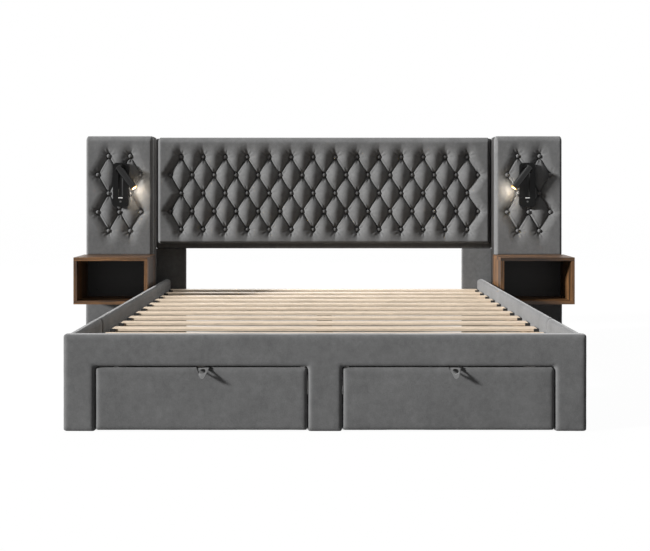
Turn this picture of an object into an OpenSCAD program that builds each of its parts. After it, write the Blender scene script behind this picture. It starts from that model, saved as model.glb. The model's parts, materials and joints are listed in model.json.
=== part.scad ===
// Upholstered platform bed with two footboard drawers, a button-tufted headboard,
// two projecting tufted wings, and a floating nightstand and a reading lamp on each wing.
// Millimetres. +X to the right seen from the foot end, +Y from foot to head, +Z up.
// The origin is on the floor, under the middle of the bed's overall box.

/* [Mattress bay] */
// Width of the mattress that the bay is made for
mattress_w = 1524; // [1370:2:1680]
// Length of the mattress
mattress_l = 2032; // [1900:2:2140]
// Gap between the mattress and each side rail
mattress_side_gap = 13; // [6:1:24]
// Gap between the mattress and the headboard pad
mattress_end_gap = 6; // [2:1:20]

/* [Footboard] */
// Height of the footboard
foot_h = 298; // [280:1:330]
// Thickness of the footboard, foam and cover included
foot_t = 50; // [40:1:60]
// Height of the band above the drawers
foot_band_h = 98; // [80:1:110]
// Width of each end leg
end_leg_w = 97; // [80:1:115]
// Width of the centre leg
centre_leg_w = 104; // [95:1:125]
// Radius of the padded edges
soft_r = 11; // [5:0.5:11]

/* [Side rails] */
// Thickness of a wrapped side rail
rail_t = 31; // [26:0.5:38]
// Drop from the footboard's top to the rail's top
rail_drop = 3; // [2:0.5:12]
// Radius of the rail's long edges
rail_r = 10; // [3:0.5:12]
// Floor clearance under the long rear rails
rail_clear = 92; // [60:1:120]
// Length of the front rail section beside the drawers
bay_len = 395; // [370:1:440]
// Floor clearance under the drawer bay's boards
bay_clear = 8; // [4:0.5:12]

/* [Slats] */
// Number of slats
slat_count = 13; // [9:1:16]
// Width of a slat
slat_w = 62; // [50:1:75]
// Thickness of a slat
slat_t = 12; // [9:0.5:16]
// Drop from the rail's top to the slats' top
slat_drop = 51; // [40:1:60]
// Gap between the footboard and the first slat
slat_front_gap = 28; // [10:1:50]
// Gap between the last slat and the headboard
slat_rear_gap = 15; // [8:1:40]
// Width of the ledger that carries the slats
ledger_w = 30; // [22:1:40]
// Height of the ledger and of the centre beam
ledger_h = 30; // [24:1:36]
// Length of a slat holder
holder_l = 20; // [14:0.5:26]
// Thickness of a slat holder's end, between the slat and the side rail
holder_end = 8; // [4:0.5:12]
// Thickness of a slat holder's sides
holder_wall = 3; // [2:0.1:4]
// Drop from the slats' top to the holders' top
holder_drop = 1; // [0.5:0.1:3]
// Width of the centre beam
beam_w = 60; // [45:1:70]
// Number of centre legs
beam_leg_count = 3; // [2:1:5]
// Radius of a centre leg
beam_leg_r = 19; // [14:0.5:24]
// Height of the levelling foot under a centre leg
beam_foot_h = 18; // [12:1:25]
// Height of the cross rail at the head end
head_rail_h = 100; // [80:1:120]
// Thickness of the cross rail at the head end
head_rail_t = 20; // [15:0.5:28]
// Length of a corner bracket's legs
bracket_leg = 40; // [30:1:50]
// Height of a corner bracket
bracket_h = 60; // [40:1:70]
// Sheet thickness of a corner bracket
bracket_t = 3; // [2:0.25:4]
// Radius of a corner bracket's screw holes
bracket_hole_r = 3.2; // [2.5:0.1:4]
// Gap between a corner bracket and the ledger above it
bracket_gap = 2; // [1:0.5:6]

/* [Drawers] */
// Thickness of the drawer front, foam and cover included
front_t = 24; // [22:0.5:30]
// Gap round a drawer front
front_gap = 2.5; // [1.5:0.1:4]
// Floor clearance under a drawer front
front_clear = 4; // [3:0.5:10]
// Gap behind a closed drawer's box
box_rear_gap = 33; // [20:1:60]
// Height of the drawer box
box_h = 140; // [110:1:150]
// Height of the drawer box's underside above the floor
box_z = 20; // [16:1:26]
// Thickness of the drawer box's boards
box_t = 15; // [12:0.5:18]
// Thickness of the drawer's bottom panel
bottom_t = 6; // [4:0.5:9]
// Thickness of the drawer bay's boards
bay_t = 16; // [12:0.5:18]
// Depth of a drawer slide, from bay board to drawer box
slide_w = 13; // [12:0.5:15]
// Height of a drawer slide
slide_h = 35; // [28:1:45]
// Sheet thickness of a slide channel
slide_sheet = 1.5; // [1:0.1:2]
// Running gap in a slide
slide_gap = 0.5; // [0.3:0.05:0.8]

/* [Drawer pulls] */
// Width of the pull at its bend
pull_w = 40; // [32:1:50]
// Radius of the pull's rounded tip
pull_tip_r = 8; // [6:0.5:10]
// Length of the sloping tab from bend to tip
pull_l = 42; // [38:1:50]
// Sheet thickness of the pull
pull_t = 2; // [1.5:0.1:2.5]
// Slope of the tab out from the drawer front
pull_angle = 45; // [35:1:55]
// Diameter of the finger hole
pull_hole_d = 18; // [14:0.5:20]
// Distance of the finger hole from the bend
pull_hole_drop = 14; // [13:0.5:17]
// Depth of the flange on the drawer front's top edge
pull_flange = 16; // [12:0.5:18]
// Sideways place of each pull from its drawer's middle, left and right
pull_shift = [5, 20];

/* [Headboard] */
// Overall height of the headboard
head_h = 1008; // [940:1:1080]
// Thickness of the wrapped headboard board
board_t = 30; // [24:1:40]
// Drop from the headboard's top to the centre board's top
board_drop = 4; // [2:0.5:8]
// Height of the board's lower edge above the floor
board_z = 447; // [410:1:470]
// Width of a headboard leg
head_leg_w = 152; // [120:1:190]
// Thickness of the centre tufted pad
pad_t = 35; // [31:0.5:42]
// Height of the centre pad's lower edge above the floor
pad_z = 474; // [472:1:500]
// Gap between the centre pad and each wing's rebate
pad_side_gap = 11; // [6:0.5:14]
// Width of a wing
wing_w = 329; // [310:1:360]
// Step from the centre pad's front to the wing's front
wing_step = 151; // [130:1:170]
// Thickness of the wing's tufted pad
wing_pad_t = 45; // [38:0.5:52]
// Depth of the wing's full-width front part
wing_front_d = 117; // [100:1:140]
// Depth of the rebate behind it, which takes the centre board's edge
rebate_w = 14; // [8:1:20]
// Wall of the wing's box
wing_wall = 18; // [14:0.5:22]
// Thickness of the wing's rear cover
wing_cover_t = 3; // [2:0.5:5]

/* [Tufting] */
// Spacing between rows of buttons
row_pitch = 91.5; // [84:0.5:95]
// Distance from the headboard's top to its top row of buttons
row_drop = 98; // [80:1:110]
// Spacing of the buttons along a row of the centre pad
centre_pitch = 111; // [104:0.5:113]
// Spacing of the buttons along a row of a wing pad
wing_pitch = 106; // [95:0.5:115]
// Depth of the tufts in the centre pad
centre_tuft = 22; // [14:0.5:24]
// Depth of the tufts in a wing pad
wing_tuft = 26; // [16:0.5:30]
// Length over which folds fade out beyond the outer buttons
fold_fade = 85; // [60:1:110]
// Width of the pads' rounded border
border_r = 24; // [16:1:40]
// Share of a pad's thickness left at its outer edge
rim_share = 0.6; // [0.25:0.01:0.75]
// Radius of a covered button
button_r = 10; // [8:0.5:13]
// Height of a button's dome
button_dome = 5; // [3:0.5:7]

/* [Nightstands] */
// Width of a nightstand
stand_w = 346; // [320:1:380]
// Height of a nightstand
stand_h = 219; // [180:1:240]
// Depth of a nightstand
stand_d = 237; // [200:1:260]
// Thickness of a nightstand's boards
stand_t = 16; // [12:0.5:20]
// Thickness of a nightstand's back panel
stand_back_t = 9; // [6:0.5:12]
// Height of a nightstand's top above the floor
stand_top = 428; // [405:1:440]
// Sideways place of a nightstand from its wing's middle, outwards
stand_shift = -4.5; // [-8:0.5:8]
// Gap between a side rail and a nightstand
stand_gap = 19; // [12:0.5:40]
// Drop from a nightstand's top to the lower end of the wing's tufted pad
step_drop = 10; // [6:1:14]
// Radius of the bolts that hold a nightstand
bolt_r = 3; // [2.5:0.5:4]
// Length of those bolts behind the back panel
bolt_l = 38; // [25:1:50]
// Spacing of those bolts across
bolt_dx = 220; // [160:1:250]
// Spacing of those bolts up
bolt_dz = 120; // [80:1:140]

/* [Reading lamps] */
// Width of the lamp's base plate
plate_w = 76; // [70:1:86]
// Sideways place of a lamp from its wing's middle, inwards
lamp_shift = 10; // [0:1:20]
// Height of the lamp's base plate
plate_h = 214; // [204:1:224]
// Thickness of the lamp's base plate
plate_t = 14; // [12:0.5:18]
// Corner radius of the base plate
plate_r = 18; // [12:0.5:22]
// Height of the base plate's lower end above the floor
plate_z = 662; // [656:1:670]
// Height of the thicker block at the plate's lower end
block_h = 48; // [42:1:54]
// How far that block stands out on the sides
block_lip = 2; // [1:0.5:4]
// Extra thickness of that block
block_rise = 6; // [4:0.5:9]
// Height of the swivel above the floor
swivel_z = 848; // [842:1:852]
// Radius of the swivel spindle
spindle_r = 8; // [6:0.5:10]
// Radius of the lamp's tube
tube_r = 16.5; // [14:0.5:18]
// Length of the tube
tube_l = 132; // [120:1:150]
// Length of the tube behind the tilt pin
tube_back = 12; // [12:0.5:17]
// Wall of the tube
tube_wall = 2; // [1.5:0.1:3]
// Distance from the plate to the tube's axis
tube_out = 30; // [28:0.5:34]
// Rest angle of the tube from straight down, towards the bed's middle
tube_angle = 37; // [30:1:45]
// Thickness of the yoke's sheet
yoke_t = 3; // [2.5:0.5:4]
// Width of the yoke
yoke_w = 20; // [18:1:22]
// Radius of the tilt pins
pin_r = 3; // [2.5:0.25:3.5]
// Width of the lamp's trim ring
ring_l = 5; // [3:0.5:8]
// Thickness of the lens
lens_t = 2; // [1.5:0.5:4]
// Running gap at the lamp's swivel and pins
run_gap = 0.05; // [0.02:0.01:0.09]
// Gap between the yoke, the tube and the plate
yoke_gap = 0.5; // [0.3:0.1:0.8]
// Width of the charging port's insert
port_w = 20; // [18:1:26]
// Height of the charging port's insert
port_h = 4; // [3:0.5:8]
// Drop from the block's top to the middle of the charging port
port_drop = 5; // [4:0.5:14]
// Drop from the block's top to the middle of the switch button
switch_drop = 23; // [18:1:34]
// Distance from the block and the spindle to the trough's ends
trough_inset = 12; // [8:1:20]
// Radius of the switch button
switch_r = 4.5; // [3.5:0.5:5.5]
// Travel of the switch button
switch_travel = 1.5; // [1:0.1:2]

/* [Hidden] */
$fn = 64;
soft_gap = 0.3;

// Heights
rail_top = foot_h - rail_drop;
slat_top = rail_top - slat_drop;
slat_z = slat_top - slat_t;
ledger_z = slat_z - ledger_h;
notch_h = foot_h - foot_band_h;

// Half widths
bay_half = mattress_w / 2 + mattress_side_gap;
foot_half = bay_half + rail_t;
ledger_half = bay_half - ledger_w;
notch_in = centre_leg_w / 2;
notch_out = foot_half - end_leg_w;
stand_x = foot_half + stand_gap + stand_w / 2;
wing_x = stand_x - stand_shift;
lamp_x = wing_x - lamp_shift;
centre_half = wing_x - wing_w / 2;
head_half = centre_half + rebate_w;

// Depths, counted from the footboard's front
bay_end = foot_t + bay_len;
y_pad = foot_t + mattress_l + mattress_end_gap;
y_board = y_pad + pad_t;
y_back = y_board + board_t;
y_wing = y_pad - wing_step;
y_wing_box = y_wing + wing_pad_t;
y_rebate = y_wing + wing_front_d;
y_head_rail = y_board - head_rail_t;
pull_reach = pull_l * sin(pull_angle) + pull_t * cos(pull_angle) - pull_t * tan(pull_angle / 2);
y_shift = (pull_reach - y_back) / 2;

// Slats
slat_y0 = foot_t + slat_front_gap;
slat_pitch = (y_board - slat_rear_gap - slat_w - slat_y0) / (slat_count - 1);
slat_half = bay_half - holder_end;

// Drawers
front_w = notch_out - notch_in - 2 * front_gap;
front_h = notch_h - front_clear - 3 * front_gap / 2;
front_x = (notch_in + notch_out) / 2;
front_top = front_clear + front_h;
box_in = notch_in + slide_w;
box_out = notch_out - slide_w;
runner_h = slide_h - 2 * slide_sheet - 2 * slide_gap;
slide_z = box_z + box_h / 2 - slide_h / 2;
floor_z = box_z + bottom_t;
bay_board_y = bay_end - bay_t;
box_end = bay_board_y - box_rear_gap;
box_l = box_end - front_t;

// Tufting: the top row's height, the rows that fit, and the full pitches beside a pad's middle
row_top_z = head_h - row_drop;
rows = floor((row_top_z - pad_z - border_r) / row_pitch) + 1;
centre_cols = floor((head_half - pad_side_gap - border_r) / centre_pitch);
wing_cols = floor((wing_w / 2 - border_r) / wing_pitch);

// Wings, nightstands and lamps
step_z = stand_top - step_drop;
stand_z = stand_top - stand_h;
cubby_w = stand_w - 2 * stand_t;
cubby_z = stand_z + stand_t;
cubby_h = stand_h - 2 * stand_t;
stand_y = y_wing - stand_d;
stand_bolt_z = stand_z + stand_h / 2;
plate_y = y_wing - soft_gap - plate_t;
block_y = plate_y - block_rise;
tube_y = plate_y - tube_out;
trough_r = tube_r + 1;
trough_drop = 4;
port_z = plate_z + block_h - port_drop;
port_depth = 4;
switch_z = plate_z + block_h - switch_drop;
switch_depth = 8;
lamp_top_z = plate_z + plate_h;
yoke_half = tube_r + yoke_gap + yoke_t;

ends = ["left", "right"];

// ---------------------------------------------------------------- helpers

// Moves a piece from footboard-front depths to the frame's origin.
module placed() { translate([0, y_shift, 0]) children(); }

// The right-hand copy as drawn, or its mirror image on the left.
module on_side(e) { mirror([e == "left" ? 1 : 0, 0, 0]) children(); }

// Draws its children on both sides.
module both_sides() { for (e = ends) on_side(e) children(); }

// A box from its low corner and its size.
module box_at(low, size) { translate(low) cube(size); }

// A flat rectangle with round corners, from the origin to [w, h].
module rounded(w, h, r) {
    translate([r, 0]) square([w - 2 * r, h]);
    translate([0, r]) square([w, h - 2 * r]);
    for (x = [r, w - r], y = [r, h - r]) translate([x, y]) circle(r);
}

// A padded, fabric-wrapped block with every edge rounded.
module wrapped(low, size, r) {
    translate(low) intersection() {
        linear_extrude(size[2]) rounded(size[0], size[1], r);
        translate([0, size[1], 0]) rotate([90, 0, 0]) linear_extrude(size[1]) rounded(size[0], size[2], r);
        rotate([90, 0, 90]) linear_extrude(size[0]) rounded(size[1], size[2], r);
    }
}

// A wrapped board that stands on edge and runs along Y, with round long edges.
module wrapped_rail(x0, y0, z0, w, l, h, r) {
    translate([x0, y0 + l, z0]) rotate([90, 0, 0]) linear_extrude(l) rounded(w, h, r);
}

// A cylinder along Y from depth y0.
module rod_y(r, l, x, y0, z) { translate([x, y0 + l, z]) rotate([90, 0, 0]) cylinder(h = l, r = r); }

// ---------------------------------------------------------------- tufted pads

// Height of the pillows, 0 at a button and 1 on a crown, u pitches across and v rows down.
function pillow(u, v) =
    let (pa = abs(sin(180 * (u + v / 2 + 0.5))), pb = abs(sin(180 * (u - v / 2 + 0.5))))
    0.55 * sqrt(pa * pb) + 0.45 * max(pa, pb);

// How far a row's buttons reach from the middle, in pitches: odd rows are full, even ones half short.
function row_reach(v, cols) = cols - 0.5 * abs(1 - v % 2);

// The same over the whole pad: beyond the outer buttons the folds fade out.
function tuft_height(u, v, cols, pitch) =
    let (vc = max(0, min(rows - 1, v)), reach = row_reach(vc, cols),
         uc = max(-reach, min(reach, u)),
         t = min(1, norm([(u - uc) * pitch, (v - vc) * row_pitch]) / fold_fade))
    1 - (1 - pillow(uc, vc)) * (1 - t) * (1 - t);

// Share of the pad's thickness at distance d from its outline.
function border(d) =
    d >= border_r ? 1 : rim_share + (1 - rim_share) * sqrt(1 - pow(1 - d / border_r, 2));

// Places across one side's border, and one in the stretch next to the buttons if it is wide.
function insets(margin) =
    [0, border_r * 0.2, border_r, if (margin > 2 * border_r) (border_r + margin) / 2];

// Grid lines from -low to +high with the buttons' field between them.
function grid_lines(low, high, field_low, field_high, step) =
    let (a = insets(field_low - low), b = insets(high - field_high),
         n = round((field_high - field_low) / step))
    [for (d = a) low + d, for (i = [0:n]) field_low + i * (field_high - field_low) / n,
     for (i = [len(b) - 1:-1:0]) high - b[i]];

// Distance from a pad's lower edge to its lowest row of buttons.
function lower_margin(z0) = row_top_z - (rows - 1) * row_pitch - z0;

// A tufted pad of width w from z0 to z1, its flat back at depth y, its front towards -Y.
// Cells are split along the pleats, so odd says how far the buttons' field is from the first line.
module tufted_pad(w, z0, z1, y, thick, cols, pitch, depth, fine) {
    xs = grid_lines(-w / 2, w / 2, -cols * pitch, cols * pitch, pitch / (4 * fine));
    zs = grid_lines(z0, z1, z0 + lower_margin(z0), row_top_z, row_pitch / (2 * fine));
    nx = len(xs);
    nz = len(zs);
    odd = len(insets(w / 2 - cols * pitch)) + len(insets(lower_margin(z0)));
    front = [for (x = xs, z = zs)
        let (d = min(x + w / 2, w / 2 - x, z - z0, z1 - z),
             h = tuft_height(x / pitch, (row_top_z - z) / row_pitch, cols, pitch))
        [x, y - thick * border(d) + depth * (1 - h) * min(1, d / border_r), z]];
    ring = [for (i = [0:nx - 2]) [i, 0], for (j = [0:nz - 2]) [nx - 1, j],
            for (i = [nx - 1:-1:1]) [i, nz - 1], for (j = [nz - 1:-1:1]) [0, j]];
    m = len(ring);
    back = [for (p = ring) [xs[p[0]], y, zs[p[1]]]];
    hub = nx * nz + m;
    faces = concat(
        [for (i = [0:nx - 2], j = [0:nz - 2])
            let (a = i * nz + j, b = a + nz, c = b + 1, d = a + 1)
            each (i + j + odd) % 2 == 0 ? [[a, c, b], [a, d, c]] : [[a, d, b], [b, d, c]]],
        [for (k = [0:m - 1])
            let (p = ring[k], q = ring[(k + 1) % m], f = p[0] * nz + p[1], g = q[0] * nz + q[1],
                 r = nx * nz + k, s = nx * nz + (k + 1) % m)
            each [[f, g, s], [f, s, r], [r, s, hub]]]);
    polyhedron(concat(front, back, [[0, y, (z0 + z1) / 2]]), faces);
}

// Middles of all buttons of a pad, as [across, up].
function button_spots(cols, pitch) =
    [for (v = [0:rows - 1]) let (reach = row_reach(v, cols))
        for (u = [-reach:reach]) [u * pitch, row_top_z - v * row_pitch]];

// A covered button: a low dome on a cone that sits in the tuft.
module button(depth, pitch) {
    sink = button_r * depth * PI / pitch;
    ball = (button_r * button_r + button_dome * button_dome) / (2 * button_dome);
    translate([0, -sink - soft_gap, 0]) rotate([90, 0, 0]) rotate_extrude() union() {
        polygon([[0, -sink], [button_r, 0], [0, 0]]);
        intersection() {
            translate([0, button_dome - ball]) circle(ball);
            square([button_r, button_dome]);
        }
    }
}

// All buttons of a pad whose front stands at depth y_front.
module buttons(y_front, cols, pitch, depth) {
    for (s = button_spots(cols, pitch))
        translate([s[0], y_front + depth, s[1]]) button(depth, pitch);
}

// ---------------------------------------------------------------- bed base

module footboard() {
    color("dimgray") placed() {
        wrapped([-foot_half, 0, notch_h], [2 * foot_half, foot_t, foot_band_h], soft_r);
        for (x = [-foot_half, notch_out])
            wrapped([x, 0, 0], [end_leg_w, foot_t, foot_h], soft_r);
        wrapped([-notch_in, 0, 0], [centre_leg_w, foot_t, foot_h], soft_r);
    }
}

module bay_side(e) {
    color("gray") placed() on_side(e)
        wrapped_rail(bay_half, foot_t, bay_clear, rail_t, bay_len, rail_top - bay_clear, rail_r);
}

module side_rail(e) {
    color("gray") placed() on_side(e)
        wrapped_rail(bay_half, bay_end, rail_clear,
                     rail_t, y_board - bay_end, rail_top - rail_clear, rail_r);
}

module bay_partitions() {
    color("tan") placed() both_sides()
        for (x = [notch_in - bay_t, notch_out])
            box_at([x, foot_t, bay_clear], [bay_t, bay_board_y - foot_t, ledger_z - bay_clear]);
}

module bay_back() {
    color("tan") placed()
        box_at([-bay_half, bay_board_y, bay_clear], [2 * bay_half, bay_t, ledger_z - bay_clear]);
}

// A C-shaped channel, its web on the bay board at x and its mouth towards +X.
module channel(l) {
    difference() {
        cube([slide_w - slide_gap, l, slide_h]);
        box_at([slide_sheet, -1, slide_sheet], [slide_w, l + 2, slide_h - 2 * slide_sheet]);
    }
}

module slide_channels() {
    l = box_end - foot_t;
    color("silver") placed() both_sides() {
        translate([notch_in, foot_t, slide_z]) channel(l);
        translate([notch_out, foot_t, slide_z]) mirror([1, 0, 0]) channel(l);
    }
}

module ledger(e) {
    color("tan") placed() on_side(e)
        box_at([ledger_half, foot_t, ledger_z], [ledger_w, y_head_rail - foot_t, ledger_h]);
}

function slat_y(i) = slat_y0 + i * slat_pitch;

// A slat's rounded cross-section, extruded across the bed.
module slat(half, grow) {
    translate([-half, -grow, -grow]) rotate([90, 0, 90]) linear_extrude(2 * half)
        rounded(slat_w + 2 * grow, slat_t + 2 * grow, slat_t / 4);
}

module slats() {
    color("wheat") placed()
        for (i = [0:slat_count - 1]) translate([0, slat_y(i), slat_z]) slat(slat_half, 0);
}

// A cup round a slat's end, open towards the bed's middle and at the top.
module slat_holder() {
    gap = soft_gap;
    difference() {
        box_at([bay_half - holder_l, -holder_wall - gap, 0],
               [holder_l, slat_w + 2 * (holder_wall + gap), slat_t - holder_drop]);
        box_at([bay_half - holder_l - 1, -gap, -1],
               [holder_l - holder_end + 1 + gap, slat_w + 2 * gap, slat_t + 2]);
    }
}

module slat_holders() {
    color("black") placed() both_sides()
        for (i = [0:slat_count - 1]) translate([0, slat_y(i), slat_z]) slat_holder();
}

module centre_beam() {
    wall = 3;
    color("black") placed() difference() {
        box_at([-beam_w / 2, foot_t, ledger_z], [beam_w, y_head_rail - foot_t, ledger_h]);
        box_at([wall - beam_w / 2, foot_t - 1, ledger_z + wall],
               [beam_w - 2 * wall, y_head_rail - foot_t + 2, ledger_h - 2 * wall]);
    }
}

// Depth of centre leg k, evenly spread behind the drawer bay.
function leg_y(k) = bay_end + (y_head_rail - bay_end) * (k + 0.5) / beam_leg_count;

module beam_legs() {
    color("black") placed()
        for (k = [0:beam_leg_count - 1]) translate([0, leg_y(k), beam_foot_h]) {
            cylinder(h = ledger_z - beam_foot_h, r = beam_leg_r);
            translate([0, 0, ledger_z - beam_foot_h - 4]) cylinder(h = 4, r = beam_w / 2);
        }
}

module beam_feet() {
    color("black") placed()
        for (k = [0:beam_leg_count - 1]) translate([0, leg_y(k), 0])
            cylinder(h = beam_foot_h, r1 = beam_leg_r + 6, r2 = beam_leg_r);
}

module head_cross_rail() {
    color("tan") placed()
        box_at([-bay_half, y_head_rail, slat_z - head_rail_h], [2 * bay_half, head_rail_t, head_rail_h]);
}

// A steel angle in the corner of x and y, reaching towards -X and towards side sy along Y.
module corner_bracket(y, sy, z) {
    hole_in = bracket_leg * 0.6;
    translate([bay_half, y, z]) mirror([0, sy < 0 ? 1 : 0, 0]) difference() {
        box_at([-bracket_leg, 0, 0], [bracket_leg, bracket_leg, bracket_h]);
        box_at([-bracket_leg - 1, bracket_t, -1],
               [bracket_leg + 1 - bracket_t, bracket_leg, bracket_h + 2]);
        for (h = [bracket_h / 4, bracket_h * 3 / 4]) {
            rod_y(bracket_hole_r, bracket_t + 2, -hole_in, -1, h);
            translate([-bracket_t - 1, hole_in, h]) rotate([0, 90, 0])
                cylinder(h = bracket_t + 2, r = bracket_hole_r);
        }
    }
}

module corner_brackets() {
    z = ledger_z - bracket_h - bracket_gap;
    color("silver") placed() both_sides() {
        corner_bracket(foot_t, 1, z);
        corner_bracket(bay_end, 1, z);
        corner_bracket(y_head_rail, -1, z);
    }
}

// ---------------------------------------------------------------- drawers

module drawer_front(e) {
    color("dimgray") placed() on_side(e)
        wrapped([front_x - front_w / 2, 0, front_clear], [front_w, front_t, front_h], soft_r);
}

// Two sides, a back, and the slide runners fixed to the sides.
module drawer_box(e) {
    runner_w = slide_w - slide_sheet - slide_gap;
    color("burlywood") placed() on_side(e) {
        for (x = [box_in, box_out - box_t]) box_at([x, front_t, box_z], [box_t, box_l, box_h]);
        box_at([box_in + box_t, box_end - box_t, box_z], [box_out - box_in - 2 * box_t, box_t, box_h]);
        for (x = [box_in - runner_w, box_out])
            box_at([x, foot_t, slide_z + slide_sheet + slide_gap], [runner_w, box_end - foot_t, runner_h]);
    }
}

module drawer_bottom(e) {
    color("wheat") placed() on_side(e)
        box_at([box_in + box_t, front_t, box_z], [box_out - box_in - 2 * box_t, box_l - box_t, bottom_t]);
}

// Outline of the sloping tab, from its bend at the origin down to its rounded tip.
module tab_outline() {
    flank = atan2(pull_w / 2 - pull_tip_r, pull_l - pull_tip_r);
    tip = [pull_tip_r * cos(flank), -(pull_l - pull_tip_r) - pull_tip_r * sin(flank)];
    difference() {
        union() {
            polygon([[-pull_w / 2, 0], [pull_w / 2, 0], tip, [-tip[0], tip[1]]]);
            translate([0, pull_tip_r - pull_l]) circle(pull_tip_r);
        }
        translate([0, -pull_hole_drop]) circle(pull_hole_d / 2);
    }
}

// A bent metal pull: a flange on the front's top edge and a tab that slopes out and down.
module drawer_pull(e) {
    k = e == "left" ? 0 : 1;
    x = (k == 0 ? -front_x : front_x) + pull_shift[k];
    color("gainsboro") placed() translate([x, 0, front_top]) {
        translate([-pull_w / 2, 0, 0]) cube([pull_w, pull_flange, pull_t]);
        translate([0, 0, pull_t]) rotate([90 - pull_angle, 0, 0]) translate([0, 0, -pull_t])
            linear_extrude(pull_t) tab_outline();
    }
}

// ---------------------------------------------------------------- headboard and wings

module headboard_board() {
    color("dimgray") placed()
        wrapped([-head_half, y_board, board_z],
                [2 * head_half, board_t, head_h - board_drop - board_z], soft_r / 2);
}

module headboard_legs() {
    color("dimgray") placed() both_sides()
        box_at([head_half - head_leg_w, y_board, 0], [head_leg_w, board_t, board_z]);
}

module headboard_pad() {
    color("slategray") placed()
        tufted_pad(2 * (head_half - pad_side_gap), pad_z, head_h, y_board - soft_gap,
                   pad_t - soft_gap, centre_cols, centre_pitch, centre_tuft, 1);
}

module headboard_buttons() {
    color("gray") placed() buttons(y_pad, centre_cols, centre_pitch, centre_tuft);
}

// What the rear cover and the hollow behind it take up inside a wing.
module wing_hollow(y0, deep) {
    box_at([head_half + wing_wall, y0, wing_wall],
           [wing_w - rebate_w - 2 * wing_wall, deep, head_h - 2 * wing_wall]);
}

// A hollow wrapped box, open at the back and stepped forward below the tufted pad.
// The rear of its inner side is rebated for the centre board.
module wing_box(e) {
    deep = y_back - y_wing_box;
    color("dimgray") placed() on_side(e) difference() {
        union() {
            wrapped([centre_half, y_wing_box, 0], [wing_w, deep, head_h], soft_r);
            wrapped([centre_half, y_wing, 0], [wing_w, deep + wing_pad_t, step_z], soft_r);
        }
        wing_hollow(y_wing_box + wing_wall, deep);
        box_at([centre_half - 1, y_rebate, -1], [rebate_w + 1, y_back, head_h + 2]);
        stand_bolts(bolt_r + run_gap, y_wing - 1, y_wing_box + wing_wall + 1);
    }
}

module wing_cover(e) {
    color("black") placed() on_side(e) wing_hollow(y_back - wing_cover_t, wing_cover_t);
}

module wing_pad(e) {
    color("slategray") placed() on_side(e) translate([wing_x, 0, 0])
        tufted_pad(wing_w, step_z + soft_gap, head_h, y_wing_box - soft_gap,
                   wing_pad_t - soft_gap, wing_cols, wing_pitch, wing_tuft, 2);
}

module wing_buttons(e) {
    color("gray") placed() on_side(e)
        translate([wing_x, 0, 0]) buttons(y_wing, wing_cols, wing_pitch, wing_tuft);
}

// ---------------------------------------------------------------- nightstands

module nightstand_board(e, z) {
    color("saddlebrown") placed() on_side(e)
        box_at([stand_x - stand_w / 2, stand_y, z], [stand_w, stand_d, stand_t]);
}

module nightstand_sides(e) {
    color("saddlebrown") placed() on_side(e)
        for (x = [stand_x - stand_w / 2, stand_x + cubby_w / 2])
            box_at([x, stand_y, cubby_z], [stand_t, stand_d, cubby_h]);
}

module nightstand_back(e) {
    color("black") placed() on_side(e) difference() {
        box_at([stand_x - cubby_w / 2, y_wing - stand_back_t, cubby_z], [cubby_w, stand_back_t, cubby_h]);
        stand_bolts(bolt_r + run_gap, y_wing - stand_back_t - 1, y_wing + 1);
    }
}

// Four rods at the nightstand's bolt places, from depth y0 to y1.
module stand_bolts(r, y0, y1) {
    for (dx = [-bolt_dx / 2, bolt_dx / 2], dz = [-bolt_dz / 2, bolt_dz / 2])
        rod_y(r, y1 - y0, stand_x + dx, y0, stand_bolt_z + dz);
}

module nightstand_bolts() {
    head = 3;
    y = y_wing - stand_back_t;
    color("black") placed() both_sides() {
        stand_bolts(bolt_r, y, y + stand_back_t + bolt_l);
        stand_bolts(2 * bolt_r, y - head, y);
    }
}

// ---------------------------------------------------------------- reading lamps

// The plate with its lower block, the trough for the stowed tube and the pockets.
module lamp_base(e) {
    color("black") placed() on_side(e) difference() {
        union() {
            translate([lamp_x - plate_w / 2, plate_y + plate_t, plate_z]) rotate([90, 0, 0])
                linear_extrude(plate_t) rounded(plate_w, plate_h, plate_r);
            translate([lamp_x - plate_w / 2 - block_lip, plate_y + plate_t, plate_z]) rotate([90, 0, 0])
                linear_extrude(plate_t + block_rise) rounded(plate_w + 2 * block_lip, block_h, plate_r);
        }
        translate([lamp_x, plate_y - trough_r + trough_drop, plate_z + block_h + 4])
            cylinder(h = swivel_z - plate_z - block_h - spindle_r - trough_inset, r = trough_r);
        rod_y(spindle_r + run_gap, plate_t - 3, lamp_x, plate_y - 1, swivel_z);
        box_at([lamp_x - port_w / 2 - soft_gap, block_y - 1, port_z - port_h / 2 - soft_gap],
               [port_w + 2 * soft_gap, port_depth + 1, port_h + 2 * soft_gap]);
        rod_y(switch_r + soft_gap, switch_depth + 1, lamp_x, block_y - 1, switch_z);
    }
}

// Turns its children from straight down to the tube's rest angle about the swivel.
module tube_frame() {
    translate([lamp_x, tube_y, swivel_z]) rotate([0, tube_angle, 0]) children();
}

// A bent strip with a spindle in the plate and two ears that carry the tube on pins.
module lamp_yoke(e) {
    web_y = tube_out - yoke_gap - yoke_t;
    color("black") placed() on_side(e) tube_frame() {
        difference() {
            union() {
                box_at([-yoke_half, 0, -yoke_w / 2], [2 * yoke_half, web_y + yoke_t, yoke_w]);
                translate([-yoke_half, 0, 0]) rotate([0, 90, 0]) cylinder(h = 2 * yoke_half, r = yoke_w / 2);
            }
            box_at([yoke_t - yoke_half, -yoke_w, -yoke_w],
                   [2 * (yoke_half - yoke_t), web_y + yoke_w, 2 * yoke_w]);
        }
        for (s = [-1, 1]) mirror([s < 0 ? 1 : 0, 0, 0])
            translate([tube_r - tube_wall, 0, 0]) rotate([0, 90, 0])
                cylinder(h = tube_wall + yoke_gap + yoke_t, r = pin_r);
        rod_y(spindle_r, yoke_gap + plate_t - 4 - run_gap, 0, web_y + yoke_t, 0);
    }
}

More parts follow.
